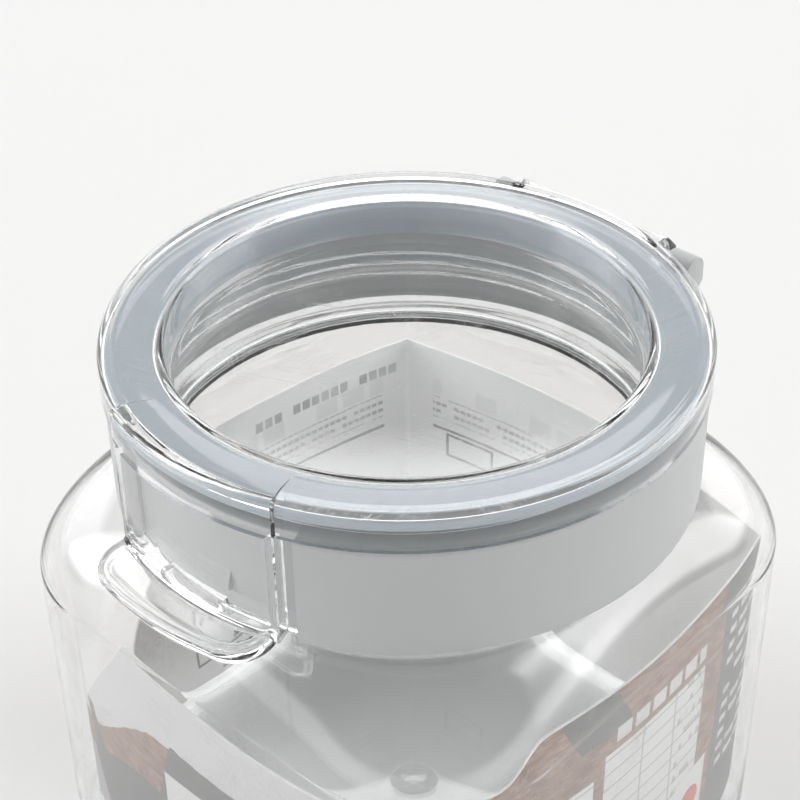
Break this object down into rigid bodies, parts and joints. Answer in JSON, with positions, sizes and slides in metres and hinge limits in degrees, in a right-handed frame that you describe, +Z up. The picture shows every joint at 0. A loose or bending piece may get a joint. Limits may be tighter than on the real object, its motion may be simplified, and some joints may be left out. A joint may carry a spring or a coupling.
{
  "type": "rice canister with flip lid",
  "caption": "Clear square food canister with a round neck, an opaque screw collar and a hinged clear lid with a thumb tab and a soft seal.",
  "frame": {"origin": "middle of the flat base, on the surface that the jar stands on and on the axis of the neck", "axes": "+Z up along the neck's axis, -Y towards the thumb tab, +Y towards the hinge, +X to the right as seen from the tab"},
  "size_m": [0.1, 0.1053, 0.1065],
  "materials": {
    "clear_plastic": "clear, glossy",
    "clear_lid_plastic": "clear, glossy",
    "grey_plastic": "opaque, satin",
    "seal_rubber": "soft, satin",
    "card_paper": "matt printed paper"
  },
  "bodies": {
    "jar_body": {"jar": "clear_plastic", "info_card": "card_paper"},
    "collar_body": {"collar": "grey_plastic"},
    "lid_body": {"lid": "clear_lid_plastic", "seal": "seal_rubber"}
  },
  "joints": [
    {"name": "collar_turn", "type": "hinge", "parent": "jar_body", "child": "collar_body", "pos_m": [0, 0, 0.09], "axis": [0, 0, 1], "range_deg": [0, 120]},
    {"name": "lid_hinge", "type": "hinge", "parent": "collar_body", "child": "lid_body", "pos_m": [0, 0.0475, 0.09986], "axis": [-1, 0, 0], "range_deg": [0, 105]}
  ]
}
